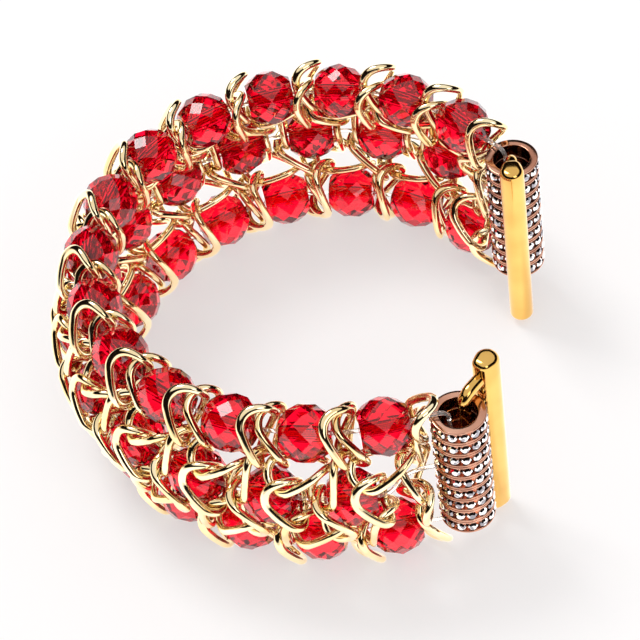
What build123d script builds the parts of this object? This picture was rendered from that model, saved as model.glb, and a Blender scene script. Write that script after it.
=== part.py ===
"""Bead watch band: three rows of faceted beads with a curb chain woven between them."""

import os
from math import atan, cos, degrees, radians, sin, sqrt

from build123d import *

# Layout of the band
column_pitch = 10.2
row_spacing = 10.4
middle_bulge = 2.8
column_count = 13
back_turn_deg = 20.0
front_turn_deg = 16.5

# Faceted rondelle beads
bead_diameter = 8.0
bead_length = 6.6
bead_bore = 1.5
facet_count = 10
bead_roll_deg = 11.0

# Elastic cords. The middle one runs a little outward of its beads' centres, clear of the links,
# and keeps its direction for a while as it leaves the last bead and as it nears the rings.
cord_diameter = 0.6
cord_lift = 0.15
bead_lead = 3.5
ring_lead = 6.0

# Twisted curb links
wire_diameter = 1.2
link_length = 9.8
link_width = 6.6
link_twist_deg = 42.0

# Rings at the two ends
ring_diameter = 7.7
ring_height = 2.24
ring_gap = 0.08
ring_bore = 5.2
ring_distance = 9.8
rings_below_cord = 5
rings_above_cord = 4
lip_height = 0.32
notch_clearance = 0.08
notch_offset = 0.5
stone_diameter = 1.36
stone_count = 14

# Adaptors that slide into the watch
bar_diameter = 1.8
bar_bend = 1.8
bar_height = 24.2
bar_reach = 3.4
bar_offset = 1.3
lacing_offset = 1.25
tongue_length = 30.0
tongue_depth = 3.8
head_diameter = 3.4
root_width = 2.4
root_depth = 0.8
root_rounding = 0.3
end_rounding = 1.0
adaptor_angle_deg = 43.0

# Shape of a bead, as shares of half its length and of its radius
girdle_share = 0.36
crown_share = 0.70
bead_end_share = 0.62

# Where the links of one column sit: centre as shares of the link length, then tilts in degrees.
# Each link here has a twin turned end for end below the middle row.
first_washer_share = (-0.082, -0.173, 1.112)
first_washer_tilt = (-12, 0, -20)
second_washer_share = (0.066, 0.020, 0.903)
second_washer_tilt = (-17, -11, 1)
cross_link_share = (0.449, -0.286, 0.587)
cross_link_tilt = (-49, 72, 54)
side_washer_share = (0.321, -0.474, 0.143)
side_washer_tilt = (10, -19, -24)
hanger_share = (-0.255, -0.321, 0.480)
hanger_tilt = (-22, 30, 9)

# Where the five links between the last beads and the rings sit
end_top_share = (0.490, -0.010, 1.097)
end_top_tilt = (33, 8, -13)
end_upper_share = (0.388, 0.270, 0.444)
end_upper_tilt = (3, 18, 4)
end_middle_share = (0.337, -0.026, 0.020)
end_middle_tilt = (-19, 0, -30)
end_lower_share = (0.342, -0.117, -0.459)
end_lower_tilt = (52, 11, 18)
end_bottom_share = (0.469, 0.005, -1.056)
end_bottom_tilt = (0, -11, 6)

# Shape of a ring and its stones, as shares of the ring diameter and the stone diameter
lip_diameter_share = 0.975
core_diameter_share = 0.765
stone_seat_share = 0.385
stone_girdle_share = 0.470
stone_back_share = 0.70
stone_table_share = 0.62

# The outer cords climb to the top of the rings between two shares of the ring distance,
# and turn down into the bore on a radius that is a share of the cord diameter
rise_share = 0.36
crest_share = 0.60
cord_bend_share = 2.0
cord_clearance = 0.2


def column_turn(hinge):
    """Angle between neighbouring columns, easing from the back of the loop to the front."""
    return back_turn_deg + (front_turn_deg - back_turn_deg) * (hinge - 1) / (column_count - 2)


def turned(x, y, heading):
    """A frame at a point of the plan, with x along the band."""
    return Location((x, y, 0), (0, 0, heading))


# Plan of the loop. The band runs anticlockwise, and its middle column heads along minus Y.
middle_column = column_count // 2
column_headings = [-90 - sum(column_turn(hinge) for hinge in range(1, middle_column + 1))]
for hinge in range(1, column_count):
    column_headings.append(column_headings[-1] + column_turn(hinge))
hinge_points = [(0.0, 0.0)]
for heading in column_headings:
    last_x, last_y = hinge_points[-1]
    step_x = column_pitch * cos(radians(heading))
    step_y = column_pitch * sin(radians(heading))
    hinge_points.append((last_x + step_x, last_y + step_y))
hinge_headings = [column_headings[0] - column_turn(0) / 2]
for hinge in range(1, column_count):
    hinge_headings.append((column_headings[hinge - 1] + column_headings[hinge]) / 2)
hinge_headings.append(column_headings[-1] + column_turn(column_count) / 2)

hinge_frames = []
for (x, y), heading in zip(hinge_points, hinge_headings):
    hinge_frames.append(turned(x, y, heading))
column_frames = []
for (x, y), heading in zip(hinge_points, column_headings):
    column_frames.append(turned(x, y, heading) * Location((column_pitch / 2, 0, 0)))
end_frames = {
    "back": hinge_frames[0] * Location((0, 0, 0), (0, 180, 0)),
    "front": hinge_frames[-1],
}

# One faceted bead, its bore along X
bead_radius = bead_diameter / 2
half_length = bead_length / 2
half_facet = radians(180 / facet_count)
girdle_x = girdle_share * half_length
crown_x = crown_share * half_length
girdle_radius = bead_radius * cos(half_facet)
kite_slope = (bead_radius - girdle_radius * cos(half_facet)) / girdle_x
crown_radius = bead_radius - kite_slope * crown_x
girdle_slope = (girdle_radius - crown_radius * cos(half_facet)) / (crown_x - girdle_x)
end_apothem = bead_end_share * bead_radius * cos(half_facet)
crown_slope = (crown_radius - end_apothem) / (half_length - crown_x)
facet_bands = (
    (bead_radius, kite_slope, 0),
    (girdle_radius + girdle_slope * girdle_x, girdle_slope, 180 / facet_count),
    (crown_radius + crown_slope * crown_x, crown_slope, 0),
)

with BuildPart() as bead:
    with BuildSketch(Plane.YZ.offset(-half_length)):
        RegularPolygon(bead_radius, facet_count)
    extrude(amount=bead_length)
    for apothem, slope, turn in facet_bands:
        for side in (1, -1):
            cutter_place = Location((apothem, 0, 0), (0, -side * degrees(atan(slope)), 0))
            with Locations(Plane.YZ):
                with PolarLocations(0, facet_count, start_angle=turn):
                    with Locations(cutter_place):
                        Box(
                            bead_diameter,
                            bead_diameter,
                            2 * bead_diameter,
                            align=(Align.MIN, Align.CENTER, Align.CENTER),
                            mode=Mode.SUBTRACT,
                        )
    with BuildSketch(Plane.YZ.offset(-half_length)):
        Circle(bead_bore / 2)
    extrude(amount=bead_length, mode=Mode.SUBTRACT)

# One twisted link, its length along Z and its width along Y at the middle
link_reach = (link_length - wire_diameter) / 2
link_side = (link_width - wire_diameter) / 2
link_straight = link_reach - link_side
link_twist = radians(link_twist_deg)


def link_station(along, side, along_step, side_step):
    """A point of the link's centre line, and the way the line runs there."""
    turn = link_twist * along / link_reach
    turn_step = link_twist * along_step / link_reach
    point = Vector(-side * sin(turn), -side * cos(turn), along)
    run = Vector(
        -side_step * sin(turn) - side * turn_step * cos(turn),
        -side_step * cos(turn) + side * turn_step * sin(turn),
        along_step,
    )
    return point, run.normalized()


def two_arcs(first, last):
    """Join two stations of a line with two arcs that share a tangent."""
    first_point, first_run = first
    last_point, last_run = last
    gap = last_point - first_point
    run_sum = first_run + last_run
    spread = 4 - run_sum.dot(run_sum)
    lead = gap.dot(run_sum)
    reach = (sqrt(lead**2 + spread * gap.dot(gap)) - lead) / spread
    early = first_point + first_run * reach
    late = last_point - last_run * reach
    joint = (early + late) / 2
    TangentArc(first_point, joint, tangent=first_run)
    TangentArc(joint, last_point, tangent=late - early)


end_steps = 4
half_stations = [link_station(0, link_side, 1, 0)]
for step in range(end_steps + 1):
    bend = radians(180) * step / end_steps
    along = link_straight + link_side * sin(bend)
    half_stations.append(link_station(along, link_side * cos(bend), cos(bend), -sin(bend)))
half_stations.append(link_station(0, -link_side, -1, 0))

with BuildPart() as half_link:
    with BuildLine() as half_line:
        for first, last in zip(half_stations, half_stations[1:]):
            two_arcs(first, last)
    with BuildSketch(Plane(origin=half_line.line @ 0, z_dir=half_line.line % 0)):
        Circle(wire_diameter / 2)
    sweep()

with BuildPart() as link:
    add(half_link.part)
    add(half_link.part, rotation=(0, 180, 0))


def link_place(shares, tilt):
    """Where a link sits in its column."""
    return Location(tuple(link_length * share for share in shares), tilt)


upper_links = (
    link_place(first_washer_share, first_washer_tilt),
    link_place(second_washer_share, second_washer_tilt),
    link_place(cross_link_share, cross_link_tilt),
    link_place(side_washer_share, side_washer_tilt),
    link_place(hanger_share, hanger_tilt),
)
half_turn = Location((0, 0, 0), (0, 180, 0))

with BuildPart() as column_links:
    with Locations(*upper_links, *[half_turn * place for place in upper_links]):
        add(link.part)

with BuildPart() as end_links:
    with Locations(
        link_place(end_top_share, end_top_tilt),
        link_place(end_upper_share, end_upper_tilt),
        link_place(end_middle_share, end_middle_tilt),
        link_place(end_lower_share, end_lower_tilt),
        link_place(end_bottom_share, end_bottom_tilt),
    ):
        add(link.part)

# One ring, its lips standing out beyond the channel for the stones
with BuildPart() as ring:
    Cylinder(core_diameter_share * ring_diameter / 2, ring_height)
    lip_z = (ring_height - lip_height) / 2
    with Locations((0, 0, lip_z), (0, 0, -lip_z)):
        Cylinder(lip_diameter_share * ring_diameter / 2, lip_height)
    Cylinder(ring_bore / 2, ring_height, mode=Mode.SUBTRACT)

# One round-cut stone in the channel, facing along X
stone_seat = stone_seat_share * ring_diameter
stone_girdle = stone_girdle_share * ring_diameter
stone_table = ring_diameter / 2
with BuildPart() as stone:
    with BuildSketch(Plane.XZ):
        with BuildLine():
            Polyline(
                (stone_seat, 0),
                (stone_seat, stone_back_share * stone_diameter / 2),
                (stone_girdle, stone_diameter / 2),
                (stone_table, stone_table_share * stone_diameter / 2),
                (stone_table, 0),
                close=True,
            )
        make_face()
    revolve(axis=Axis.X)

# Heights of the rings, and of the notch between two of them that lets the middle cord in
ring_step = ring_height + ring_gap
ring_count = rings_below_cord + rings_above_cord
stack_height = ring_count * ring_step - ring_gap
ring_heights = []
for index in range(ring_count):
    ring_heights.append(-stack_height / 2 + ring_height / 2 + index * ring_step)
notch_height = -stack_height / 2 + rings_below_cord * ring_step - ring_gap / 2

with BuildPart() as ring_stack:
    with Locations(*[(ring_distance, 0, height) for height in ring_heights]):
        add(ring.part)
    with Locations(Location((ring_distance, -notch_offset, notch_height), (0, -90, 0))):
        Cylinder(
            cord_diameter / 2 + notch_clearance,
            ring_diameter,
            align=(Align.CENTER, Align.CENTER, Align.MIN),
            mode=Mode.SUBTRACT,
        )

with BuildPart() as stone_ring:
    with PolarLocations(0, stone_count, start_angle=180 / stone_count):
        add(stone.part)

with BuildPart() as ring_stones:
    with Locations(*[(ring_distance, 0, height) for height in ring_heights]):
        add(stone_ring.part)

# The cord standing in the bore of the rings, with the outer cords ending just above and below it
lacing_x = ring_distance - lacing_offset
cord_bend = cord_bend_share * cord_diameter
lacing_height = stack_height - 2 * cord_bend
with BuildPart() as lacing_cord:
    with Locations((lacing_x, 0, 0)):
        Cylinder(cord_diameter / 2, lacing_height)

# The bar through the rings, bent at both ends towards the tongue
bar_frame = Location((ring_distance, 0, 0), (0, 0, adaptor_angle_deg)) * Location((bar_offset, 0, 0))
with BuildPart() as plain_bar:
    with BuildLine(Plane.XZ) as bar_line:
        FilletPolyline(
            (bar_reach, -bar_height / 2),
            (0, -bar_height / 2),
            (0, bar_height / 2),
            (bar_reach, bar_height / 2),
            radius=bar_bend,
        )
    with BuildSketch(Plane(origin=bar_line.line @ 0, z_dir=bar_line.line % 0)):
        Circle(bar_diameter / 2)
    sweep()

# The tongue: a narrow root that holds the bar, widening to the round head that slides in
with BuildPart() as plain_tongue:
    with BuildSketch(Plane.XY.offset(-tongue_length / 2)):
        with Locations((bar_reach + root_depth / 2, 0)):
            Rectangle(root_depth, root_width)
        with Locations((bar_reach + tongue_depth - head_diameter / 2, 0)):
            Circle(head_diameter / 2)
        make_hull()
    extrude(amount=tongue_length)
    root_edges = plain_tongue.edges().filter_by(Axis.Z).sort_by(Axis.X)[:2]
    fillet(root_edges, radius=root_rounding)
    fillet(plain_tongue.faces().filter_by(Axis.Z).edges(), radius=end_rounding)

with BuildPart() as bar:
    with Locations(bar_frame):
        add(plain_bar.part)

with BuildPart() as tongue:
    with Locations(bar_frame):
        add(plain_tongue.part)


def world_point(frame, x, y, z):
    """A point given in one of the frames of the plan."""
    return (frame * Location((x, y, z))).position


def world_direction(frame, x, y, z):
    """A direction given in one of the frames of the plan."""
    return world_point(frame, x, y, z) - world_point(frame, 0, 0, 0)


def over_the_rings(end, side):
    """Points of an outer cord from the last bead over the rim and down into the bore."""
    frame = end_frames[end]
    row = side * row_spacing
    rise_x = rise_share * ring_distance
    crest_x = crest_share * ring_distance
    halfway_x = (rise_x + crest_x) / 2
    crest = side * (stack_height / 2 + cord_diameter / 2 + cord_clearance)
    landing = side * (lacing_height / 2 + cord_clearance / 2)
    return [
        world_point(frame, rise_x, 0, row),
        world_point(frame, halfway_x, 0, row),
        world_point(frame, halfway_x, 0, crest),
        world_point(frame, crest_x, 0, crest),
        world_point(frame, lacing_x - cord_bend, 0, crest),
        world_point(frame, lacing_x, 0, crest - side * cord_bend),
        world_point(frame, lacing_x, 0, landing),
    ]


def outer_cord(side):
    """An outer cord, from the rings at the back round the band to those at the front."""
    height = side * row_spacing
    with BuildPart() as cord:
        with BuildLine() as cord_line:
            start = world_point(hinge_frames[0], 0, 0, height)
            heading = world_direction(hinge_frames[0], 1, 0, 0)
            climb = over_the_rings("back", -side)
            climb.reverse()
            landing, drop, crest_end = climb[:3]
            Line(landing, drop)
            TangentArc(drop, crest_end, tangent=(0, 0, side))
            Line(crest_end, climb[3])
            Bezier(*climb[3:])
            Line(climb[-1], start)
            for x, y in hinge_points[1:]:
                arc = TangentArc(start, (x, y, height), tangent=heading)
                start = arc @ 1
                heading = arc % 1
            climb = over_the_rings("front", side)
            crest_end, drop, landing = climb[4:]
            Line(start, climb[0])
            Bezier(*climb[:4])
            Line(climb[3], crest_end)
            TangentArc(crest_end, drop, tangent=heading)
            Line(drop, landing)
        with BuildSketch(Plane(origin=cord_line.line @ 0, z_dir=cord_line.line % 0)):
            Circle(cord_diameter / 2)
        sweep()
    return cord


top_cord = outer_cord(1)
bottom_cord = outer_cord(-1)


def into_the_rings(end, bead_exit, heading):
    """Points of the middle cord from the last bead to its end between the rings."""
    frame = end_frames[end]
    outward = world_direction(frame, 1, 0, 0)
    rim_x = ring_distance - ring_diameter / 2 - cord_diameter
    rim = world_point(frame, rim_x, -notch_offset, notch_height)
    return [
        bead_exit,
        bead_exit + heading * bead_lead,
        rim - outward * ring_lead,
        rim,
        world_point(frame, lacing_x - cord_diameter, -notch_offset, notch_height),
    ]


with BuildPart() as middle_cord:
    with BuildLine() as middle_line:
        cord_y = -middle_bulge - cord_lift
        start = world_point(column_frames[0], 0, cord_y, 0)
        heading = world_direction(column_frames[0], 1, 0, 0)
        bead_exit = world_point(column_frames[0], -half_length, cord_y, 0)
        approach = into_the_rings("back", bead_exit, -heading)
        approach.reverse()
        Line(*approach[:2])
        Bezier(*approach[1:])
        Line(bead_exit, start)
        for frame in column_frames[1:]:
            arc = TangentArc(start, world_point(frame, 0, cord_y, 0), tangent=heading)
            start = arc @ 1
            heading = arc % 1
        bead_exit = world_point(column_frames[-1], half_length, cord_y, 0)
        approach = into_the_rings("front", bead_exit, heading)
        Line(start, bead_exit)
        Bezier(*approach[:4])
        Line(*approach[3:])
    with BuildSketch(Plane(origin=middle_line.line @ 0, z_dir=middle_line.line % 0)):
        Circle(cord_diameter / 2)
    sweep()

# Every piece: its name, the solid it is made from, and the places it is put
here = Location((0, 0, 0))
pieces = [
    ("cord_top", top_cord, [here]),
    ("cord_middle", middle_cord, [here]),
    ("cord_bottom", bottom_cord, [here]),
]
for index, frame in enumerate(hinge_frames):
    places = []
    for side in (1, -1):
        roll = Location((0, 0, side * row_spacing), (side * index * bead_roll_deg, 0, 0))
        places.append(frame * roll)
    pieces.append((f"outer_beads_{index:02d}", bead, places))
for index, frame in enumerate(column_frames):
    roll = Location((0, -middle_bulge, 0), (index * bead_roll_deg, 0, 0))
    pieces.append((f"middle_bead_{index:02d}", bead, [frame * roll]))
    pieces.append((f"chain_loop_{index:02d}", column_links, [frame]))
for end, frame in end_frames.items():
    pieces.append((f"chain_end_{end}", end_links, [frame]))
    pieces.append((f"ring_stack_{end}", ring_stack, [frame]))
    pieces.append((f"ring_stones_{end}", ring_stones, [frame]))
    pieces.append((f"lacing_cord_{end}", lacing_cord, [frame]))
    pieces.append((f"adaptor_bar_{end}", bar, [frame]))
    pieces.append((f"adaptor_tongue_{end}", tongue, [frame]))

# The band stands on its edge, centred over the origin
corners = []
for name, solid, places in pieces:
    for place in places:
        box = solid.part.moved(place).bounding_box()
        corners.append((box.min, box.max))
low_x = min(low.X for low, high in corners)
low_y = min(low.Y for low, high in corners)
low_z = min(low.Z for low, high in corners)
high_x = max(high.X for low, high in corners)
high_y = max(high.Y for low, high in corners)
settle = Location((-(low_x + high_x) / 2, -(low_y + high_y) / 2, -low_z))

os.makedirs("parts", exist_ok=True)
for name, solid, places in pieces:
    with BuildPart() as piece:
        with Locations(*[settle * place for place in places]):
            add(solid.part)
    piece.part.label = name
    export_step(piece.part, f"parts/{name}.step")

# Where the joints lie, for the record
for index, (x, y) in enumerate(hinge_points):
    spot = world_point(settle, x, y, 0)
    print("hinge", index, round(spot.X, 4), round(spot.Y, 4), round(spot.Z, 4), hinge_headings[index])
for end, frame in end_frames.items():
    lacing_spot = world_point(settle * frame, lacing_x, 0, 0)
    bar_spot = world_point(settle * frame * bar_frame, 0, 0, 0)
    print("lacing", end, round(lacing_spot.X, 4), round(lacing_spot.Y, 4))
    print("bar", end, round(bar_spot.X, 4), round(bar_spot.Y, 4))
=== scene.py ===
"""Dress the bead watch band: ruby beads, woven curb chain, crystal-set rings and slide-in adaptors."""

from __future__ import annotations

import logging
import math
from dataclasses import dataclass, field
from enum import Enum
from typing import Callable, Iterable

import bmesh
import bpy
from bmesh.types import BMFace, BMVert
from bpy.types import Material, Node, NodeSocket, NodeTree, Object
from mathutils import Matrix, Vector

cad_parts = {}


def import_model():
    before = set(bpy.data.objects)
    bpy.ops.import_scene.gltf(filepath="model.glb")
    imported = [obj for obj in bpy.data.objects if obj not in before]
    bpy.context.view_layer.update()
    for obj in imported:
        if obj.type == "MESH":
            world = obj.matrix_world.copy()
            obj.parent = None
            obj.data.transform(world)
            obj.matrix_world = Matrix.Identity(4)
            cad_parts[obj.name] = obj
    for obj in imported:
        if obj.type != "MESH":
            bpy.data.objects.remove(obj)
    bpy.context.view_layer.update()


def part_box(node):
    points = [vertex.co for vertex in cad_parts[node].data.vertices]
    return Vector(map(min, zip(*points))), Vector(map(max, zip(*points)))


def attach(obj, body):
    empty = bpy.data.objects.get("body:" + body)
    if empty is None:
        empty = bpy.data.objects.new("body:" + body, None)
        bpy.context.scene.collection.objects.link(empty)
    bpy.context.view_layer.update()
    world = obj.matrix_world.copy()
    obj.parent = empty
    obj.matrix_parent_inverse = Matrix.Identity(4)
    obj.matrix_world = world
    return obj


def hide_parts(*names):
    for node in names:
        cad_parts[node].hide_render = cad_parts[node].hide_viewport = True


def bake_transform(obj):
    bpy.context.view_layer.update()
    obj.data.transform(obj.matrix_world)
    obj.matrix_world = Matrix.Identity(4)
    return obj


log = logging.getLogger("bead_band")

# Metres in a millimetre.
MM = 0.001
# Less than any distance between two forms, so that places can be told apart.
HAIR_MM = 0.01
# Vertices that are nearer than this are one.
WELD_MM = 0.001
# Edges that turn by more than this are sharp.
SHARP_DEG = 35.0
# Faces that turn by less than this are one.
FLAT_DEG = 1.0
# Faces round a thin bar or a small hole.
ROUND_FACES = 24
# Handle of a curve that draws a quarter of a circle, as a share of the radius.
QUARTER_HANDLE = 0.5523


class Side(Enum):
    """The upper or the lower outer row of the band."""

    TOP = 1
    BOTTOM = -1


class End(Enum):
    """The two ends of the band, named as the CAD nodes name them."""

    BACK = "back"
    FRONT = "front"


class Element(Enum):
    """What a test picks out of a mesh in edit mode."""

    FACE = "FACE"
    VERTEX = "VERT"


def linear(hex_colour: str) -> tuple[float, float, float, float]:
    """Turn an sRGB hex colour into the linear values that a socket takes.

    Args:
        hex_colour: six hex digits, with or without a leading mark.

    Returns:
        Red, green, blue and an alpha of one.
    """
    digits = hex_colour.lstrip("#")
    values = []
    for start in (0, 2, 4):
        share = int(digits[start : start + 2], 16) / 255
        values.append(share / 12.92 if share <= 0.04045 else ((share + 0.055) / 1.055) ** 2.4)
    return (values[0], values[1], values[2], 1.0)


def add_node(
    tree: NodeTree,
    kind: str,
    settings: dict[str, object] | None = None,
    inputs: dict[str | int, object] | None = None,
    links: dict[str | int, NodeSocket] | None = None,
) -> Node:
    """Add one node with its settings, socket values and links.

    Args:
        tree: the node tree that gets the node.
        kind: the node's type name.
        settings: attributes of the node itself.
        inputs: values for its unlinked sockets.
        links: output sockets to join to its inputs.

    Returns:
        The new node.
    """
    node = tree.nodes.new(kind)
    for name, value in (settings or {}).items():
        setattr(node, name, value)
    for key, value in (inputs or {}).items():
        node.inputs[key].default_value = value
    for key, socket in (links or {}).items():
        tree.links.new(socket, node.inputs[key])
    return node


def new_material(name: str) -> tuple[Material, NodeTree]:
    """Start a material with an empty tree.

    Args:
        name: the material's name.

    Returns:
        The material and its tree.
    """
    material = bpy.data.materials.new(name)
    material.use_nodes = True
    material.node_tree.nodes.clear()
    return material, material.node_tree


@dataclass(frozen=True, kw_only=True)
class Finish:
    """What all finishes share: a colour that drifts between two tones in patches of a real size.

    Within the pattern the deeper tone ends at the first edge, and the plain colour starts at the
    second.
    """

    name: str
    colour: str
    deep: str
    roughness: float
    patch_mm: float
    detail: float
    edges: tuple[float, float]

    def values(self) -> dict[str, float]:
        """Values that the shader gets beside its colour, named as its sockets are."""
        return {"Roughness": self.roughness}

    def relief(self, tree: NodeTree, place: NodeSocket) -> dict[str, NodeSocket]:
        """Links that give the surface its relief, of which a smooth one has none."""
        return {}

    def build(self) -> Material:
        """Make the material.

        Returns:
            The material.
        """
        material, tree = new_material(self.name)
        place = add_node(tree, "ShaderNodeTexCoord").outputs["Object"]
        patches = add_node(
            tree,
            "ShaderNodeTexNoise",
            inputs={"Scale": 1 / (self.patch_mm * MM), "Detail": self.detail},
            links={"Vector": place},
        )
        tone = add_node(tree, "ShaderNodeValToRGB", links={"Fac": patches.outputs["Fac"]})
        tones = (self.deep, self.colour)
        for stop, edge, hex_colour in zip(tone.color_ramp.elements, self.edges, tones):
            stop.position = edge
            stop.color = linear(hex_colour)
        shader = add_node(
            tree,
            "ShaderNodeBsdfPrincipled",
            inputs=self.values(),
            links={"Base Color": tone.outputs["Color"], **self.relief(tree, place)},
        )
        add_node(tree, "ShaderNodeOutputMaterial", links={"Surface": shader.outputs["BSDF"]})
        return material


@dataclass(frozen=True, kw_only=True)
class GoldPlate(Finish):
    """Mirror-polished gold plate over a cast alloy: bright, with faint waviness from polishing."""

    patch_mm: float = 6.0
    detail: float = 2.0
    edges: tuple[float, float] = (0.35, 0.65)
    wave_mm: float = 1.6
    wave_depth_mm: float = 0.012
    wave_strength: float = 0.5

    def values(self) -> dict[str, float]:
        """Values of a metal."""
        return {**super().values(), "Metallic": 1.0}

    def relief(self, tree: NodeTree, place: NodeSocket) -> dict[str, NodeSocket]:
        """Add the waves that polishing leaves.

        Args:
            tree: the material's tree.
            place: the socket that gives a point's place on the piece.

        Returns:
            The link for the shader's normal.
        """
        waves = add_node(
            tree,
            "ShaderNodeTexNoise",
            inputs={"Scale": 1 / (self.wave_mm * MM), "Detail": 1.0},
            links={"Vector": place},
        )
        bump = add_node(
            tree,
            "ShaderNodeBump",
            inputs={"Strength": self.wave_strength, "Distance": self.wave_depth_mm * MM},
            links={"Height": waves.outputs["Fac"]},
        )
        return {"Normal": bump.outputs["Normal"]}


@dataclass(frozen=True, kw_only=True)
class FoiledCrystal(Finish):
    """Small cut stones with a mirror foil behind the glass, which throws the light back.

    The patches are smaller than a stone, so that the foil's tone differs from stone to stone.
    """

    roughness: float = 0.05
    patch_mm: float = 0.9
    detail: float = 0.0
    edges: tuple[float, float] = (0.42, 0.5)
    index: float = 1.6

    def values(self) -> dict[str, float]:
        """Values of a foil under clear glass."""
        return {
            **super().values(),
            "Metallic": 1.0,
            "Coat Weight": 1.0,
            "Coat Roughness": 0.0,
            "Coat IOR": self.index,
        }


@dataclass(frozen=True, kw_only=True)
class ClearStock(Finish):
    """What glass and clear polyurethane share: they let most of the light through."""

    detail: float = 1.0
    index: float
    transmission: float

    def values(self) -> dict[str, float]:
        """Values of a stock that light passes."""
        return {
            **super().values(),
            "IOR": self.index,
            "Transmission Weight": self.transmission,
        }


@dataclass(frozen=True, kw_only=True)
class CutGlass(ClearStock):
    """Machine-cut glass, coloured through: deep inside, with flat facets polished to a mirror."""

    roughness: float = 0.0
    patch_mm: float = 5.0
    edges: tuple[float, float] = (0.3, 0.7)
    index: float = 1.54
    transmission: float = 0.93


@dataclass(frozen=True, kw_only=True)
class ElasticCord(ClearStock):
    """Extruded clear polyurethane cord: smooth and slightly milky, with faint stretched bands."""

    roughness: float = 0.12
    patch_mm: float = 2.0
    edges: tuple[float, float] = (0.0, 1.0)
    index: float = 1.45
    transmission: float = 0.85


RUBY_GLASS = CutGlass(name="ruby_cut_glass", colour="#EC0828", deep="#B2051E")
CLEAR_CRYSTAL = FoiledCrystal(name="clear_foiled_crystal", colour="#FFFFFF", deep="#8E8A92")
PALE_GOLD = GoldPlate(name="pale_gold_plate", colour="#FBECC4", deep="#EDD09A", roughness=0.07)
ROSE_GOLD = GoldPlate(name="rose_gold_plate", colour="#DDA88F", deep="#B47D66", roughness=0.12)
YELLOW_GOLD = GoldPlate(name="yellow_gold_plate", colour="#E3B868", deep="#D9AA5C", roughness=0.10)
CLEAR_ELASTIC = ElasticCord(name="clear_elastic_cord", colour="#FBF8F6", deep="#EFE8E4")


def deselect_all() -> None:
    """Leave edit mode, and let go of every object."""
    if bpy.context.object is not None and bpy.context.object.mode != "OBJECT":
        bpy.ops.object.mode_set(mode="OBJECT")
    bpy.ops.object.select_all(action="DESELECT")


def pick(piece: Object) -> None:
    """Make one object the only selected and the active one.

    Args:
        piece: the object.
    """
    deselect_all()
    piece.select_set(True)
    bpy.context.view_layer.objects.active = piece


def rename(piece: Object, name: str) -> None:
    """Give an object and its mesh one name."""
    piece.name = name
    piece.data.name = name


def added(name: str) -> Object:
    """Name the object that an operator has just added, and bake its place into its mesh.

    Args:
        name: the object's name.

    Returns:
        The object.
    """
    piece = bpy.context.object
    rename(piece, name)
    pick(piece)
    bpy.ops.object.transform_apply(location=True, rotation=True, scale=True)
    return piece


def select_all_in_edit() -> None:
    """Enter edit mode with the whole mesh of the active object selected."""
    bpy.ops.object.mode_set(mode="EDIT")
    bpy.ops.mesh.select_all(action="SELECT")


def turn_outwards() -> None:
    """Turn all faces of the mesh in edit mode outwards, and leave edit mode."""
    bpy.ops.mesh.select_all(action="SELECT")
    bpy.ops.mesh.normals_make_consistent(inside=False)
    bpy.ops.object.mode_set(mode="OBJECT")


def select_where(piece: Object, kind: Element, wanted: Callable[[BMFace | BMVert], bool]) -> None:
    """Select the faces or the vertices that pass a test, and nothing else, in edit mode.

    Args:
        piece: the object, which is left in edit mode.
        kind: what is tested.
        wanted: the test.
    """
    if piece.mode != "EDIT":
        bpy.ops.object.mode_set(mode="EDIT")
    bpy.ops.mesh.select_mode(type=kind.value)
    bpy.ops.mesh.select_all(action="DESELECT")
    mesh = bmesh.from_edit_mesh(piece.data)
    for element in mesh.faces if kind is Element.FACE else mesh.verts:
        element.select = wanted(element)
    mesh.select_flush_mode()
    bmesh.update_edit_mesh(piece.data)


def is_level(face: BMFace) -> bool:
    """Whether a face lies nearer to level than to upright."""
    return abs(face.normal.z) > face.normal.xy.length


def cut_across(heights: Iterable[float]) -> None:
    """Cut the mesh in edit mode across Z.

    Args:
        heights: where it is cut, in metres.
    """
    for height in heights:
        bpy.ops.mesh.select_all(action="SELECT")
        bpy.ops.mesh.bisect(plane_co=(0, 0, height), plane_no=(0, 0, 1))


def bevelled(piece: Object, width_mm: float, segments: int) -> None:
    """Round the sharp edges of a piece.

    Args:
        piece: the object.
        width_mm: the width of the rounding.
        segments: how many faces it is made of.
    """
    pick(piece)
    rounding = piece.modifiers.new("rounding", "BEVEL")
    rounding.width = width_mm * MM
    rounding.segments = segments
    rounding.limit_method = "ANGLE"
    rounding.angle_limit = math.radians(SHARP_DEG)
    bpy.ops.object.modifier_apply(modifier=rounding.name)


def smooth(piece: Object, crease_deg: float = SHARP_DEG) -> None:
    """Shade a piece smooth, except over edges that turn by more than an angle."""
    pick(piece)
    bpy.ops.object.shade_smooth_by_angle(angle=math.radians(crease_deg))


def copied(piece: Object, name: str, place: Matrix) -> Object:
    """Copy a piece with its own mesh, moved in the mesh.

    Args:
        piece: the object to copy.
        name: the copy's name.
        place: where the copy goes.

    Returns:
        The copy.
    """
    twin = piece.copy()
    twin.data = piece.data.copy()
    rename(twin, name)
    twin.data.transform(place)
    bpy.context.collection.objects.link(twin)
    return twin


def joined(parts: list[Object], name: str) -> Object:
    """Join several objects into one.

    Args:
        parts: the objects, the first of which stays.
        name: the name of the joined piece.

    Returns:
        The joined piece.
    """
    deselect_all()
    for part in parts:
        part.select_set(True)
    bpy.context.view_layer.objects.active = parts[0]
    bpy.ops.object.join()
    piece = bpy.context.object
    rename(piece, name)
    return piece


def dress(piece: Object, material: Material) -> None:
    """Give a piece one material all over."""
    piece.data.materials.clear()
    piece.data.materials.append(material)


def thrown_away(piece: Object) -> None:
    """Remove a pattern that has been copied, or a cutter that has cut."""
    bpy.data.objects.remove(piece, do_unlink=True)


def along(heading: float) -> Vector:
    """The way along the band at a heading."""
    return Vector((math.cos(heading), math.sin(heading), 0))


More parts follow.
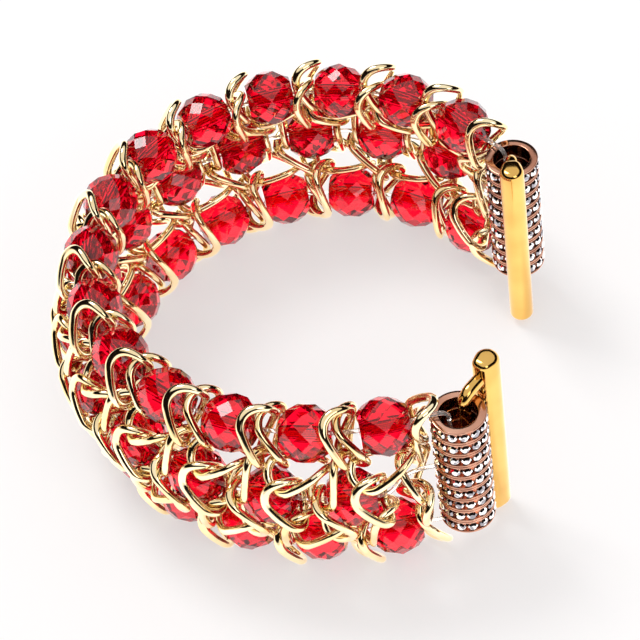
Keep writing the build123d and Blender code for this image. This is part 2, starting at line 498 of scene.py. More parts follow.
def outward(heading: float) -> Vector:
    """The way out of the band's loop at a heading."""
    return Vector((math.sin(heading), -math.cos(heading), 0))


@dataclass
class BandPlan:
    """Where the columns and the hinges of the band lie, read from the CAD nodes.

    The rings stand ring_distance_mm beyond the last outer beads. notch_place_mm is where the middle
    cord enters them: how far inwards and how high.
    """

    columns: int = 13
    ring_distance_mm: float = 9.8
    notch_place_mm: tuple[float, float] = (-0.5, 1.16)
    hinge_points: list[Vector] = field(default_factory=list)
    bead_points: list[Vector] = field(default_factory=list)
    column_headings: list[float] = field(default_factory=list)
    hinge_headings: list[float] = field(default_factory=list)

    def __post_init__(self) -> None:
        """Read the plan from the boxes of the beads."""
        for index in range(self.columns + 1):
            low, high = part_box(f"outer_beads_{index:02d}")
            self.hinge_points.append((low + high) / 2)
        for index in range(self.columns):
            low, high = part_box(f"middle_bead_{index:02d}")
            self.bead_points.append((low + high) / 2)
        for first, last in zip(self.hinge_points, self.hinge_points[1:]):
            run = last - first
            self.column_headings.append(math.atan2(run.y, run.x))
        turns = [self.turn(index) for index in range(1, self.columns)]
        first_turn = 2 * turns[0] - turns[1]
        last_turn = 2 * turns[-1] - turns[-2]
        self.hinge_headings.append(self.column_headings[0] - first_turn / 2)
        for index, turn in enumerate(turns):
            self.hinge_headings.append(self.column_headings[index] + turn / 2)
        self.hinge_headings.append(self.column_headings[-1] + last_turn / 2)

    def turn(self, hinge: int) -> float:
        """Angle between the columns on either side of a hinge."""
        turn = self.column_headings[hinge] - self.column_headings[hinge - 1]
        return turn % (2 * math.pi)

    def last_hinge(self, end: End) -> int:
        """Number of the hinge at an end of the band."""
        return self.columns if end is End.FRONT else 0

    def last_column(self, end: End) -> int:
        """Number of the column beside an end of the band."""
        return self.columns - 1 if end is End.FRONT else 0

    def column_frame(self, column: int) -> Matrix:
        """Frame at the middle of a column: x along the band, y inwards, z up."""
        centre = (self.hinge_points[column] + self.hinge_points[column + 1]) / 2
        return Matrix.Translation(centre) @ Matrix.Rotation(self.column_headings[column], 4, "Z")

    def hinge_frame(self, hinge: int) -> Matrix:
        """Frame at a hinge: x along the band, y inwards, z up."""
        spot = Matrix.Translation(self.hinge_points[hinge])
        return spot @ Matrix.Rotation(self.hinge_headings[hinge], 4, "Z")

    def end_frame(self, end: End) -> Matrix:
        """Frame at the last outer beads of an end.

        Args:
            end: which end of the band.

        Returns:
            The frame: x outwards along the band, y inwards, and z down at the back end.
        """
        frame = self.hinge_frame(self.last_hinge(end))
        if end is End.FRONT:
            return frame
        return frame @ Matrix.Rotation(math.pi, 4, "Y")

    def ring_frame(self, end: End) -> Matrix:
        """Frame at the middle of the rings of an end, turned as the end's frame is."""
        return self.end_frame(end) @ Matrix.Translation((self.ring_distance_mm * MM, 0, 0))

    def body(self, column: int) -> str:
        """Name the CAD body of a column, or of an end beyond the last column.

        Args:
            column: the number of the column.

        Returns:
            The body's name.
        """
        if column < 0:
            return "end_back"
        if column >= self.columns:
            return "end_front"
        return f"column_{column:02d}"


@dataclass(frozen=True)
class LinkPlace:
    """Where one link sits: its centre in millimetres, and its tilts in degrees."""

    centre_mm: tuple[float, float, float]
    tilt_deg: tuple[float, float, float]

    def matrix(self) -> Matrix:
        """Take the tilts one after the other about turned axes, then move to the centre.

        Returns:
            The place as a matrix.
        """
        turn = Matrix.Identity(4)
        for angle, axis in zip(self.tilt_deg, "XYZ"):
            turn = turn @ Matrix.Rotation(math.radians(angle), 4, axis)
        return Matrix.Translation(Vector(self.centre_mm) * MM) @ turn


COLUMN_LINKS = (
    LinkPlace((-0.804, -1.695, 10.898), (-12, 0, -20)),
    LinkPlace((0.647, 0.196, 8.849), (-17, -11, 1)),
    LinkPlace((4.400, -2.803, 5.753), (-49, 72, 54)),
    LinkPlace((3.146, -4.645, 1.401), (10, -19, -24)),
    LinkPlace((-2.499, -3.146, 4.704), (-22, 30, 9)),
)
END_LINKS = (
    LinkPlace((4.802, -0.098, 10.751), (33, 8, -13)),
    LinkPlace((3.802, 2.646, 4.351), (3, 18, 4)),
    LinkPlace((3.303, -0.255, 0.196), (-19, 0, -30)),
    LinkPlace((3.352, -1.147, -4.498), (52, 11, 18)),
    LinkPlace((4.596, 0.049, -10.349), (0, -11, 6)),
)


@dataclass
class CurbChain:
    """The twisted curb links woven round the middle beads, and those at the two ends."""

    plan: BandPlan
    wire_mm: float = 1.2
    length_mm: float = 9.8
    width_mm: float = 6.6
    twist_deg: float = 42.0
    sections: int = 56
    wire_faces: int = 14
    side_cuts: tuple[float, ...] = (-1.0, -0.5, 0.5, 1.0)
    crease_deg: float = 80.0

    def pattern_link(self) -> Object:
        """Model one link: a wire ring, drawn out along Z and twisted as a curb link is.

        Returns:
            The link, centred at the origin.
        """
        side = (self.width_mm - self.wire_mm) / 2
        reach = (self.length_mm - self.wire_mm) / 2
        straight = reach - side
        deselect_all()
        bpy.ops.mesh.primitive_torus_add(
            major_radius=side * MM,
            minor_radius=self.wire_mm / 2 * MM,
            major_segments=self.sections,
            minor_segments=self.wire_faces,
            rotation=(0, math.radians(90), 0),
        )
        link = added("pattern_link")
        for way in (1, -1):
            select_where(link, Element.VERTEX, lambda vertex: vertex.co.z * way > HAIR_MM * MM)
            bpy.ops.transform.translate(value=(0, 0, way * straight * MM))
        # The sides need edges along them, because the twist only moves points.
        cut_across(share * straight * MM for share in self.side_cuts)
        bpy.ops.object.mode_set(mode="OBJECT")
        pick(link)
        twist = link.modifiers.new("curb twist", "SIMPLE_DEFORM")
        twist.deform_method = "TWIST"
        twist.deform_axis = "Z"
        # The angle is spread over the link's whole height, its wire included.
        twist.angle = -2 * math.radians(self.twist_deg) * (reach + self.wire_mm / 2) / reach
        bpy.ops.object.modifier_apply(modifier=twist.name)
        smooth(link, self.crease_deg)
        return link

    def lay(self, link: Object, places: list[Matrix], name: str) -> Object:
        """Join copies of the link, one at each place, into one piece."""
        return joined([copied(link, "link", place) for place in places], name)

    def build(self, finish: Material) -> list[Object]:
        """Lay the links column by column and at the two ends, and dress them.

        Args:
            finish: the plate that they get.

        Returns:
            The finished pieces.
        """
        link = self.pattern_link()
        dress(link, finish)
        pieces = []
        half_turn = Matrix.Rotation(math.pi, 4, "Y")
        for column in range(self.plan.columns):
            frame = self.plan.column_frame(column)
            places = []
            for place in COLUMN_LINKS:
                places += [frame @ place.matrix(), frame @ (half_turn @ place.matrix())]
            piece = self.lay(link, places, f"curb_links_{column:02d}")
            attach(piece, self.plan.body(column))
            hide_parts(f"chain_loop_{column:02d}")
            pieces.append(piece)
        for end in End:
            frame = self.plan.end_frame(end)
            places = [frame @ place.matrix() for place in END_LINKS]
            piece = self.lay(link, places, f"curb_links_{end.value}")
            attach(piece, f"end_{end.value}")
            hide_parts(f"chain_end_{end.value}")
            pieces.append(piece)
        thrown_away(link)
        return pieces


@dataclass
class Beads:
    """The faceted rondelles, which keep their CAD meshes."""

    plan: BandPlan

    def build(self, finish: Material) -> list[Object]:
        """Dress every bead.

        Args:
            finish: the glass that they get.

        Returns:
            The beads.
        """
        names = [f"outer_beads_{index:02d}" for index in range(self.plan.columns + 1)]
        names += [f"middle_bead_{index:02d}" for index in range(self.plan.columns)]
        beads = [bpy.data.objects[name] for name in names]
        for bead in beads:
            dress(bead, finish)
        return beads


@dataclass(frozen=True)
class Knot:
    """A point that a cord passes, and its handles on the way in and on the way out."""

    place: Vector
    way_in: Vector
    way_out: Vector

    def placed(self, frame: Matrix) -> Knot:
        """Take a knot that is given in millimetres to its place in metres.

        Args:
            frame: the frame that it is given in.

        Returns:
            The knot in the scene.
        """
        turn = frame.to_3x3()
        spot = frame @ (self.place * MM)
        return Knot(spot, turn @ (self.way_in * MM), turn @ (self.way_out * MM))


def split(first: Knot, last: Knot) -> tuple[Knot, Knot, Knot]:
    """Split the curve between two knots in the middle, without changing its shape.

    Args:
        first: the knot that the curve leaves.
        last: the knot that it reaches.

    Returns:
        The first knot, the new middle knot and the last knot, with shorter handles.
    """
    leaving = first.place + first.way_out
    reaching = last.place - last.way_in
    early = (first.place + leaving) / 2
    late = (reaching + last.place) / 2
    before = (early + (leaving + reaching) / 2) / 2
    after = ((leaving + reaching) / 2 + late) / 2
    middle = (before + after) / 2
    return (
        Knot(first.place, first.way_in, first.way_out / 2),
        Knot(middle, middle - before, after - middle),
        Knot(last.place, last.way_in / 2, last.way_out),
    )


@dataclass
class ElasticCords:
    """The three elastic cords, made in lengths that bend at the hinges.

    Places near the rings are distances along the band from the last outer beads, and heights from
    the middle row. A lead is the length of a curve's handle.
    """

    plan: BandPlan
    diameter_mm: float = 0.6
    row_mm: float = 10.4
    lift_mm: float = 0.15
    bead_mm: float = 6.6
    bead_lead_mm: float = 3.5
    ring_lead_mm: float = 6.0
    rim_mm: float = 5.35
    tail_mm: float = 7.95
    past_bead_mm: float = 1.5
    rise_mm: float = 3.53
    over_mm: float = 5.88
    crest_mm: float = 10.9
    lacing_mm: float = 8.55
    bend_mm: float = 1.2
    landing_mm: float = 9.3
    straight_lead_mm: float = 0.5
    crest_lead_mm: float = 0.4
    drop_lead_mm: float = 0.1
    hinge_reach_mm: float = 1.5
    last_reach_mm: float = 1.0
    bead_gap_mm: float = 2.2
    split_mm: float = 0.5
    swivel_from_mm: float = 2.6
    faces: int = 12
    arc_steps: int = 6
    curve_steps: int = 10
    bevel_steps: int = 3

    def arc_length(
        self, name: str, start: Vector, run: Vector, centre: Vector, turn: float
    ) -> Object:
        """Spin a round section about a centre, as a length of bent cord.

        Args:
            name: the piece's name.
            start: where the length starts.
            run: the way the cord runs there.
            centre: the centre of the bend.
            turn: the angle of the bend.

        Returns:
            The length of cord.
        """
        deselect_all()
        bpy.ops.mesh.primitive_circle_add(
            vertices=self.faces,
            radius=self.diameter_mm / 2 * MM,
            fill_type="NGON",
            location=start,
            rotation=run.to_track_quat("Z", "Y").to_euler(),
        )
        piece = added(name)
        select_all_in_edit()
        bpy.ops.mesh.spin(steps=self.arc_steps, angle=turn, center=centre, axis=(0, 0, -1))
        turn_outwards()
        smooth(piece)
        return piece

    def free_length(self, name: str, knots: list[Knot]) -> Object:
        """Draw a length of cord as a smooth curve through a few knots.

        Args:
            name: the piece's name.
            knots: the knots in order.

        Returns:
            The length of cord, as a mesh.
        """
        deselect_all()
        bpy.ops.curve.primitive_bezier_curve_add()
        piece = bpy.context.object
        piece.matrix_world = Matrix.Identity(4)
        curve = piece.data
        curve.splines.clear()
        spline = curve.splines.new("BEZIER")
        spline.bezier_points.add(len(knots) - 1)
        for point, knot in zip(spline.bezier_points, knots):
            point.co = knot.place
            point.handle_left = knot.place - knot.way_in
            point.handle_right = knot.place + knot.way_out
        curve.resolution_u = self.curve_steps
        curve.bevel_depth = self.diameter_mm / 2 * MM
        curve.bevel_resolution = self.bevel_steps
        curve.use_fill_caps = True
        pick(piece)
        bpy.ops.object.convert(target="MESH")
        piece = bpy.context.object
        rename(piece, name)
        smooth(piece)
        return piece

    def outer_lengths(self, side: Side) -> list[tuple[Object, int]]:
        """Make an outer cord's lengths over the hinges between columns.

        Args:
            side: the upper or the lower row.

        Returns:
            Each length with the number of its hinge.
        """
        made = []
        lift = Vector((0, 0, side.value * self.row_mm * MM))
        for hinge in range(1, self.plan.columns):
            spot = self.plan.hinge_points[hinge] + lift
            before = self.plan.hinge_points[hinge - 1] + lift
            turn = self.plan.turn(hinge)
            radius = (spot - before).length / 2 / math.sin(turn / 2)
            heading = self.plan.hinge_headings[hinge]
            centre = spot - outward(heading) * radius
            back = Matrix.Rotation(-turn / 2, 3, "Z")
            start = centre + back @ (spot - centre)
            name = f"elastic_{side.name.lower()}_{hinge:02d}"
            made.append((self.arc_length(name, start, back @ along(heading), centre, turn), hinge))
        return made

    def in_middle_bead(self, column: int) -> tuple[Vector, Vector]:
        """Find where the middle cord passes a column's middle bead.

        Args:
            column: the number of the column.

        Returns:
            The point, and the way the cord runs there.
        """
        heading = self.plan.column_headings[column]
        place = self.plan.bead_points[column] + outward(heading) * self.lift_mm * MM
        return place, along(heading)

    def middle_lengths(self) -> list[tuple[Object, int]]:
        """Make the middle cord's lengths, each from one middle bead to the next.

        Returns:
            Each length with the number of its hinge.
        """
        made = []
        for hinge in range(1, self.plan.columns):
            start, run = self.in_middle_bead(hinge - 1)
            finish = self.in_middle_bead(hinge)[0]
            turn = self.plan.turn(hinge)
            half = (finish - start) / 2
            inward = Vector((-half.y, half.x, 0)).normalized()
            centre = start + half + inward * half.length / math.tan(turn / 2)
            name = f"elastic_middle_{hinge:02d}"
            made.append((self.arc_length(name, start, run, centre, turn), hinge))
        return made

    def through_last_bead(self, end: End, side: Side) -> Object:
        """Make an outer cord's length from the last column through its last bead.

        Args:
            end: which end of the band.
            side: the upper or the lower row.

        Returns:
            The length of cord.
        """
        turn = self.plan.end_frame(end).to_3x3()
        hinge = self.plan.last_hinge(end)
        heading = self.plan.column_headings[self.plan.last_column(end)]
        sense = 1 if end is End.FRONT else -1
        lift = Vector((0, 0, side.value * self.row_mm * MM))
        last = self.plan.hinge_points[hinge] + lift
        inner = self.plan.hinge_points[hinge - sense] + lift
        chord = (last - inner).length
        sag = chord / 2 * math.tan(abs(self.plan.hinge_headings[hinge] - heading) / 2)
        middle = (last + inner) / 2 + outward(heading) * sag
        # The curve spans half the chord, and its handles are a third of that.
        grip = chord / 6
        from_middle = along(heading) * sense * grip
        straight = turn @ Vector((MM, 0, 0))
        lead = straight * self.straight_lead_mm
        return self.free_length(
            f"elastic_{side.name.lower()}_last_{end.value}",
            [
                Knot(middle, from_middle, from_middle),
                Knot(last, turn @ Vector((grip, 0, 0)), lead),
                Knot(last + straight * self.past_bead_mm, lead, lead),
            ],
        )

    def over_the_rings(self, end: End, side: Side) -> Object:
        """Make an outer cord's length over the last ring and down into the bore.

        Args:
            end: which end of the band.
            side: the upper or the lower row.

        Returns:
            The length of cord.
        """
        way = side.value if end is End.FRONT else -side.value
        row = way * self.row_mm
        crest = way * self.crest_mm
        ahead = Vector((1, 0, 0))
        down = Vector((0, 0, -way))
        lead = ahead * self.straight_lead_mm
        climb = ahead * ((self.over_mm - self.rise_mm) / 2)
        crest_lead = ahead * self.crest_lead_mm
        drop = down * self.drop_lead_mm
        round_off = QUARTER_HANDLE * self.bend_mm
        corner = crest - way * self.bend_mm
        route = (
            Knot(Vector((self.past_bead_mm, 0, row)), lead, lead),
            Knot(Vector((self.rise_mm, 0, row)), lead, climb),
            Knot(Vector((self.over_mm, 0, crest)), climb, crest_lead),
            Knot(Vector((self.lacing_mm - self.bend_mm, 0, crest)), crest_lead, ahead * round_off),
            Knot(Vector((self.lacing_mm, 0, corner)), down * round_off, drop),
            Knot(Vector((self.lacing_mm, 0, way * self.landing_mm)), drop, drop),
        )
        frame = self.plan.end_frame(end)
        name = f"elastic_{side.name.lower()}_rim_{end.value}"
        return self.free_length(name, [knot.placed(frame) for knot in route])

    def middle_end(self, end: End) -> tuple[Object, Object]:
        """Make the middle cord's two lengths beyond the last middle bead.

        Args:
            end: which end of the band.

        Returns:
            The length that leaves the bead, and the one that goes in between two rings.
        """
        frame = self.plan.end_frame(end)
        straight = frame.to_3x3() @ Vector((MM, 0, 0))
        lead = straight * self.straight_lead_mm
        start, run = self.in_middle_bead(self.plan.last_column(end))
        out = (run if end is End.FRONT else -run) * MM
        leave = Knot(start + out * self.bead_mm / 2, out, out * self.bead_lead_mm)
        rim = frame @ (Vector((self.rim_mm, *self.plan.notch_place_mm)) * MM)
        tail = frame @ (Vector((self.tail_mm, *self.plan.notch_place_mm)) * MM)
        enter = Knot(rim, straight * self.ring_lead_mm, lead)
        leave, middle, enter = split(leave, enter)
        from_bead = self.free_length(
            f"elastic_middle_last_{end.value}", [Knot(start, out, out), leave, middle]
        )
        to_rings = self.free_length(
            f"elastic_middle_rim_{end.value}", [middle, enter, Knot(tail, lead, lead)]
        )
        return from_bead, to_rings

    def lay_over(self, piece: Object, hinge: int) -> None:
        """Bake the place of a length over a hinge into its mesh.

        Args:
            piece: the length of cord.
            hinge: the number of the hinge.
        """
        frame = self.plan.hinge_frame(hinge)
        self.plan.body(hinge - 1)
        self.plan.body(hinge)
        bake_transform(piece)

    def lay_into_rings(self, piece: Object, end: End) -> None:
        """Bake the place of a length that runs into the rings into its mesh.

        Args:
            piece: the length of cord.
            end: which end of the band.
        """
        frame = self.plan.end_frame(end)
        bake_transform(piece)

    def build(self, finish: Material) -> list[Object]:
        """Make, place and dress all the lengths, and dress the lacing cords.

        Args:
            finish: the material that the cords get.

        Returns:
            The finished pieces.
        """
        laid = []
        for side in Side:
            node = f"cord_{side.name.lower()}"
            for piece, hinge in self.outer_lengths(side):
                self.lay_over(piece, hinge)
                laid.append((piece, node))
            for end in End:
                through = self.through_last_bead(end, side)
                over = self.over_the_rings(end, side)
                hinge = self.plan.last_hinge(end)
                self.lay_over(through, hinge)
                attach(over, f"end_{end.value}")
                laid += [(through, node), (over, node)]
        for piece, hinge in self.middle_lengths():
            self.lay_over(piece, hinge)
            laid.append((piece, "cord_middle"))
        for end in End:
            from_bead, to_rings = self.middle_end(end)
            if end is End.FRONT:
                self.lay_over(from_bead, self.plan.columns)
            else:
                self.lay_over(from_bead, 0)
            self.lay_into_rings(to_rings, end)
            laid += [(from_bead, "cord_middle"), (to_rings, "cord_middle")]
        for piece, node in laid:
            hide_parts(node)
        pieces = [piece for piece, node in laid]
        pieces += [bpy.data.objects[f"lacing_cord_{end.value}"] for end in End]
        for piece in pieces:
            dress(piece, finish)
        return pieces


@dataclass
class CrystalRings:
    """The stacks of rings at the ends, each ring with a row of crystals in its rim.

    The diameter is taken over the stones, which stand a little proud of the lips. stone_back is
    the radius of a stone's back as a share of its width, and stone_table its table as a share of
    its girdle.
    """

    plan: BandPlan
    diameter_mm: float = 7.7
    lip_diameter_mm: float = 7.5
    core_diameter_mm: float = 5.89
    bore_mm: float = 5.2
    height_mm: float = 2.24
    lip_mm: float = 0.32
    gap_mm: float = 0.08
    edge_mm: float = 0.13
    edge_faces: int = 3
    crease_deg: float = 40.0
    notch_mm: float = 0.76
    count: int = 9
    stone_mm: float = 1.36
    stone_seat_mm: float = 2.96
    stone_girdle_mm: float = 3.62
    stone_back: float = 0.35
    stone_table: float = 0.62
    stone_facets: int = 10
    stones: int = 14
    faces: int = 72

    def heights(self) -> list[float]:
        """Heights of the rings' middles above the middle row, in millimetres."""
        step = self.height_mm + self.gap_mm
        return [step * (index - (self.count - 1) / 2) for index in range(self.count)]

    def pattern_ring(self) -> Object:
        """Model one ring: bored through, and grooved round its rim for the stones.

        Returns:
            The ring, centred at the origin.
        """
        deselect_all()
        bpy.ops.mesh.primitive_cylinder_add(
            vertices=self.faces,
            radius=self.lip_diameter_mm / 2 * MM,
            depth=self.height_mm * MM,
            end_fill_type="NGON",
        )
        ring = added("pattern_ring")
        wall = (self.lip_diameter_mm - self.bore_mm) / 2 * MM
        middle_radius = (self.lip_diameter_mm + self.bore_mm) / 4 * MM
        select_where(ring, Element.FACE, is_level)
        bpy.ops.mesh.inset(thickness=wall, depth=0)
        select_where(
            ring,
            Element.FACE,
            lambda face: is_level(face)
            and all(vertex.co.xy.length < middle_radius for vertex in face.verts),
        )
        bpy.ops.mesh.bridge_edge_loops()
        groove = (self.height_mm / 2 - self.lip_mm) * MM
        cut_across((-groove, groove))
        select_where(
            ring,
            Element.FACE,
            lambda face: not is_level(face)
            and abs(face.calc_center_median().z) < groove
            and face.calc_center_median().xy.length > middle_radius,
        )
        depth = (self.lip_diameter_mm - self.core_diameter_mm) / 2 * MM
        bpy.ops.mesh.extrude_region_shrink_fatten(TRANSFORM_OT_shrink_fatten={"value": -depth})
        turn_outwards()
        bevelled(ring, self.edge_mm, self.edge_faces)
        smooth(ring, self.crease_deg)
        return ring

    def pattern_stone(self) -> Object:
        """Model one cut stone with its table, facing along X.

        Returns:
            The stone, at its distance from the ring's centre.
        """
        deselect_all()
        bpy.ops.mesh.primitive_cone_add(
            vertices=self.stone_facets,
            radius1=self.stone_mm * self.stone_back * MM,
            radius2=self.stone_mm / 2 * MM,
            depth=(self.stone_girdle_mm - self.stone_seat_mm) * MM,
            location=((self.stone_girdle_mm + self.stone_seat_mm) / 2 * MM, 0, 0),
            rotation=(0, math.radians(90), 0),
        )
        stone = added("pattern_stone")
        face_x = (self.stone_girdle_mm - HAIR_MM) * MM
        select_where(stone, Element.FACE, lambda face: face.calc_center_median().x > face_x)
        rise = self.diameter_mm / 2 - self.stone_girdle_mm
        bpy.ops.mesh.extrude_region_move(TRANSFORM_OT_translate={"value": (rise * MM, 0, 0)})
        bpy.ops.transform.resize(value=(1, self.stone_table, self.stone_table))
        bpy.ops.object.mode_set(mode="OBJECT")
        return stone

    def notch(self, stack: Object, frame: Matrix) -> None:
        """Cut the notch that lets the middle cord in between two rings.

        Args:
            stack: the joined rings.
            frame: the frame at the middle of the stack.
        """
        deselect_all()
        bpy.ops.mesh.primitive_cylinder_add(
            vertices=ROUND_FACES,
            radius=self.notch_mm / 2 * MM,
            depth=self.diameter_mm * MM,
            location=Vector((-self.diameter_mm / 2, *self.plan.notch_place_mm)) * MM,
            rotation=(0, math.radians(90), 0),
        )
        cutter = added("notch_cutter")
        cutter.data.transform(frame)
        pick(stack)
        cut = stack.modifiers.new("notch", "BOOLEAN")
        cut.operation = "DIFFERENCE"
        cut.object = cutter
        bpy.ops.object.modifier_apply(modifier=cut.name)
        thrown_away(cutter)
        smooth(stack, self.crease_deg)

    def build(self, metal: Material, crystal: Material) -> list[Object]:
        """Stack the rings and set their stones, at both ends.

        Args:
            metal: what the rings are dressed in.
            crystal: what the stones are dressed in.

        Returns:
            The finished pieces.
        """
        pieces = []
        ring = self.pattern_ring()
        stone = self.pattern_stone()
        dress(ring, metal)
        dress(stone, crystal)
        for end in End:
            frame = self.plan.ring_frame(end)
            rings = []
            stones = []
            for height in self.heights():
                lift = frame @ Matrix.Translation((0, 0, height * MM))
                rings.append(copied(ring, "ring", lift))
                for index in range(self.stones):
                    angle = 2 * math.pi * (index + 0.5) / self.stones
                    spin = Matrix.Rotation(angle, 4, "Z")
                    stones.append(copied(stone, "stone", lift @ spin))
            for parts, kind, node, slot in (
                (rings, "rings", "ring_stack", "rose_gold"),
                (stones, "ring_crystals", "ring_stones", "clear_stone"),
            ):
                piece = joined(parts, f"{kind}_{end.value}")
                if parts is rings:
                    self.notch(piece, frame)
                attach(piece, f"rings_{end.value}")
                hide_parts(f"{node}_{end.value}")
                pieces.append(piece)
        thrown_away(ring)
        thrown_away(stone)
        return pieces


@dataclass
class Adaptors:
    """The bars through the rings, and the slide-in tongues at the band's two ends.

    An adaptor is turned by angle_deg from the end of the band. Its bar stands offset_mm from the
    rings' centre, and bends towards the tongue above and below them. root_mm is how deep and how
    thick the tongue's root is.
    """

    plan: BandPlan
    angle_deg: float = 43.0
    offset_mm: float = 1.3
    bar_mm: float = 1.8
    bend_mm: float = 1.8
    bend_steps: int = 10
    height_mm: float = 24.2
    reach_mm: float = 3.4
    tongue_mm: float = 30.0
    depth_mm: float = 3.8
    head_mm: float = 3.4
    head_faces: int = 48
    root_mm: tuple[float, float] = (0.8, 2.4)
    rounding_mm: float = 0.95
    rounding_faces: int = 6
    crease_deg: float = 50.0

    def pattern_bar(self) -> Object:
        """Model the bar: a round section extruded and spun round its two bends.

        Returns:
            The bar, upright at the origin.
        """
        deselect_all()
        half = self.height_mm / 2
        bpy.ops.mesh.primitive_circle_add(
            vertices=ROUND_FACES,
            radius=self.bar_mm / 2 * MM,
            fill_type="NGON",
            location=(self.reach_mm * MM, 0, -half * MM),
            rotation=(0, math.radians(-90), 0),
        )
        bar = added("pattern_bar")
        select_all_in_edit()
        arm = (self.reach_mm - self.bend_mm) * MM
        rise = (self.height_mm - 2 * self.bend_mm) * MM
        legs = (((-arm, 0, 0), self.bend_mm - half), ((0, 0, rise), half - self.bend_mm))
        for leg, height in legs:
            bpy.ops.mesh.extrude_region_move(TRANSFORM_OT_translate={"value": leg})
            bpy.ops.mesh.spin(
                steps=self.bend_steps,
                angle=math.radians(90),
                center=Vector((self.bend_mm, 0, height)) * MM,
                axis=(0, -1, 0),
            )
        bpy.ops.mesh.extrude_region_move(TRANSFORM_OT_translate={"value": (arm, 0, 0)})
        bpy.ops.mesh.select_all(action="SELECT")
        bpy.ops.mesh.remove_doubles(threshold=WELD_MM * MM)
        turn_outwards()
        smooth(bar)
        return bar

    def pattern_tongue(self) -> Object:
        """Model the tongue: a hull over a square root and a round head, with its ends rounded.

        Returns:
            The tongue, beyond the bar's reach.
        """
        deselect_all()
        bpy.ops.mesh.primitive_cylinder_add(
            vertices=self.head_faces,
            radius=self.head_mm / 2 * MM,
            depth=self.tongue_mm * MM,
            location=((self.reach_mm + self.depth_mm - self.head_mm / 2) * MM, 0, 0),
        )
        head = added("tongue_head")
        deselect_all()
        bpy.ops.mesh.primitive_cube_add(
            size=1,
            location=((self.reach_mm + self.root_mm[0] / 2) * MM, 0, 0),
            scale=(self.root_mm[0] * MM, self.root_mm[1] * MM, self.tongue_mm * MM),
        )
        root = added("tongue_root")
        tongue = joined([head, root], "pattern_tongue")
        pick(tongue)
        select_all_in_edit()
        bpy.ops.mesh.convex_hull()
        bpy.ops.mesh.select_all(action="SELECT")
        bpy.ops.mesh.dissolve_limited(angle_limit=math.radians(FLAT_DEG))
        turn_outwards()
        bevelled(tongue, self.rounding_mm, self.rounding_faces)
        smooth(tongue, self.crease_deg)
        return tongue

    def build(self, metal: Material) -> list[Object]:
        """Copy the bar and the tongue to both ends.

        Args:
            metal: what they are dressed in.

        Returns:
            The finished pieces.
        """
        pieces = []
        bar = self.pattern_bar()
        tongue = self.pattern_tongue()
        dress(bar, metal)
        dress(tongue, metal)
        for end in End:
            frame = self.plan.ring_frame(end)
            frame = frame @ Matrix.Rotation(math.radians(self.angle_deg), 4, "Z")
            frame = frame @ Matrix.Translation((self.offset_mm * MM, 0, 0))
            for pattern, kind in ((bar, "bar"), (tongue, "tongue")):
                piece = copied(pattern, f"{kind}_{end.value}", frame)
                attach(piece, f"adaptor_{end.value}")
                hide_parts(f"adaptor_{kind}_{end.value}")
                pieces.append(piece)
        thrown_away(bar)
        thrown_away(tongue)
        return pieces


@dataclass(frozen=True)
class SoftLamp:
    """A square soft light: where it hangs, the side of its square and its power."""

    name: str
    place_m: tuple[float, float, float]
    side_m: float
    watts: float

    def hang(self, aim_m: tuple[float, float, float]) -> None:
        """Hang the light.

        Args:
            aim_m: the point that it faces.
        """
        deselect_all()
        bpy.ops.object.light_add(type="AREA", location=self.place_m)
        lamp = bpy.context.object
        lamp.name = self.name
        lamp.data.size = self.side_m
        lamp.data.energy = self.watts
        aim = Vector(aim_m) - Vector(self.place_m)
        lamp.rotation_euler = aim.to_track_quat("-Z", "Y").to_euler()


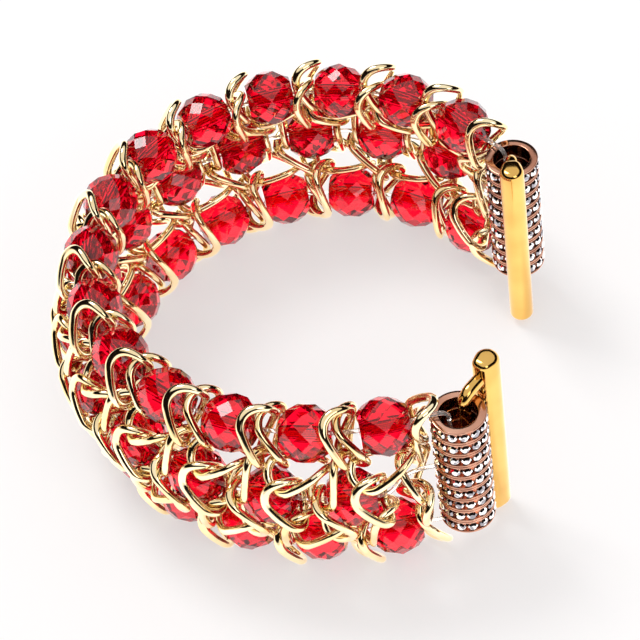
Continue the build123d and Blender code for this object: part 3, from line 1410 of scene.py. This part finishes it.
@dataclass
class Studio:
    """The pale floor, the dark wall that metal mirrors, the soft lights and the camera."""

    floor_m: float = 3.0
    floor_colour: str = "#FBFAFA"
    floor_white: float = 0.97
    white_colour: str = "#FEFBFB"
    glass_glow: float = 0.6
    mirror_glow: float = 0.6
    shadow_lift: float = 0.55
    wall_radius_m: float = 0.9
    wall_height_m: float = 0.72
    wall_middle_m: float = 0.48
    wall_faces: int = 64
    wall_colour: str = "#1A1413"
    lamps: tuple[SoftLamp, ...] = (
        SoftLamp("key", (-0.35, 0.25, 0.75), side_m=0.3, watts=3.2),
        SoftLamp("fill", (0.5, -0.45, 0.5), side_m=0.35, watts=1.0),
    )
    lamp_aim_m: tuple[float, float, float] = (0, 0, 0.01)
    sky_colour: str = "#FFFFFF"
    sky_light: float = 0.72
    sky_white: float = 1.0
    camera_m: tuple[float, float, float] = (0.08765, -0.24368, 0.29145)
    camera_deg: tuple[float, float, float] = (18.97, 42.67, -8.87)
    lens_mm: float = 150.6
    sensor_mm: float = 36.0
    near_m: float = 0.01

    def floor(self) -> None:
        """Lay a plain pale floor: softly shadowed to the eye, brighter in glass and metal."""
        deselect_all()
        bpy.ops.mesh.primitive_plane_add(size=self.floor_m)
        floor = added("floor")
        material, tree = new_material("pale_floor")
        cloth = add_node(
            tree, "ShaderNodeBsdfDiffuse", inputs={"Color": linear(self.floor_colour)}
        )
        path = add_node(tree, "ShaderNodeLightPath")
        pale = add_node(
            tree,
            "ShaderNodeEmission",
            inputs={"Color": linear(self.white_colour), "Strength": self.floor_white},
        )
        lightened = add_node(
            tree,
            "ShaderNodeMath",
            settings={"operation": "MULTIPLY"},
            inputs={1: self.shadow_lift},
            links={0: path.outputs["Is Camera Ray"]},
        )
        seen = add_node(
            tree,
            "ShaderNodeMixShader",
            links={0: lightened.outputs[0], 1: cloth.outputs["BSDF"], 2: pale.outputs["Emission"]},
        )
        mirrored = add_node(
            tree,
            "ShaderNodeMath",
            settings={"operation": "MULTIPLY"},
            inputs={1: self.mirror_glow},
            links={0: path.outputs["Is Glossy Ray"]},
        )
        glow = add_node(
            tree,
            "ShaderNodeMath",
            settings={"operation": "MULTIPLY_ADD"},
            inputs={1: self.glass_glow},
            links={0: path.outputs["Is Transmission Ray"], 2: mirrored.outputs[0]},
        )
        lit = add_node(tree, "ShaderNodeEmission", links={"Strength": glow.outputs[0]})
        both = add_node(
            tree,
            "ShaderNodeAddShader",
            links={0: seen.outputs["Shader"], 1: lit.outputs["Emission"]},
        )
        add_node(tree, "ShaderNodeOutputMaterial", links={"Surface": both.outputs["Shader"]})
        dress(floor, material)

    def dark_wall(self) -> None:
        """Stand a dark wall round the floor, which only shows in reflections."""
        deselect_all()
        bpy.ops.mesh.primitive_cylinder_add(
            vertices=self.wall_faces,
            radius=self.wall_radius_m,
            depth=self.wall_height_m,
            end_fill_type="NOTHING",
            location=(0, 0, self.wall_middle_m),
        )
        wall = added("dark_wall")
        material, tree = new_material("black_felt")
        felt = add_node(tree, "ShaderNodeBsdfDiffuse", inputs={"Color": linear(self.wall_colour)})
        add_node(tree, "ShaderNodeOutputMaterial", links={"Surface": felt.outputs["BSDF"]})
        dress(wall, material)
        wall.visible_camera = False
        wall.visible_diffuse = False
        wall.visible_shadow = False

    def sky(self) -> None:
        """Light the scene softly all round, and show white behind it."""
        world = bpy.data.worlds.new("studio")
        bpy.context.scene.world = world
        world.use_nodes = True
        tree = world.node_tree
        tree.nodes.clear()
        path = add_node(tree, "ShaderNodeLightPath")
        shown = path.outputs["Is Camera Ray"]
        for ray in ("Is Glossy Ray", "Is Transmission Ray"):
            either = add_node(
                tree,
                "ShaderNodeMath",
                settings={"operation": "MAXIMUM"},
                links={0: shown, 1: path.outputs[ray]},
            )
            shown = either.outputs[0]
        light, white = (
            add_node(
                tree,
                "ShaderNodeBackground",
                inputs={"Color": linear(self.sky_colour), "Strength": strength},
            )
            for strength in (self.sky_light, self.sky_white)
        )
        mix = add_node(
            tree,
            "ShaderNodeMixShader",
            links={0: shown, 1: light.outputs["Background"], 2: white.outputs["Background"]},
        )
        add_node(tree, "ShaderNodeOutputWorld", links={"Surface": mix.outputs["Shader"]})

    def camera(self) -> None:
        """Set the camera at the photograph's angle."""
        heading, tilt, roll = (math.radians(angle) for angle in self.camera_deg)
        turn = Matrix.Rotation(heading, 4, "Z") @ Matrix.Rotation(tilt, 4, "X")
        turn = turn @ Matrix.Rotation(roll, 4, "Z")
        deselect_all()
        bpy.ops.object.camera_add()
        camera = bpy.context.object
        camera.matrix_world = Matrix.Translation(self.camera_m) @ turn
        camera.data.lens = self.lens_mm
        camera.data.sensor_width = self.sensor_mm
        camera.data.clip_start = self.near_m
        bpy.context.scene.camera = camera

    def build(self) -> None:
        """Set up the whole studio."""
        self.floor()
        self.dark_wall()
        for lamp in self.lamps:
            lamp.hang(self.lamp_aim_m)
        self.sky()
        self.camera()
        bpy.context.scene.view_settings.view_transform = "Standard"


def main() -> None:
    """Load the frame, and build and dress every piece."""
    logging.basicConfig(level=logging.INFO)
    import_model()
    plan = BandPlan()
    for assembly, finishes in (
        (Beads(plan), (RUBY_GLASS,)),
        (CurbChain(plan), (PALE_GOLD,)),
        (ElasticCords(plan), (CLEAR_ELASTIC,)),
        (CrystalRings(plan), (ROSE_GOLD, CLEAR_CRYSTAL)),
        (Adaptors(plan), (YELLOW_GOLD,)),
    ):
        for piece in assembly.build(*(finish.build() for finish in finishes)):
            log.info("%s: %s", type(assembly).__name__, piece.name)
    Studio().build()


if __name__ == "__main__":
    main()
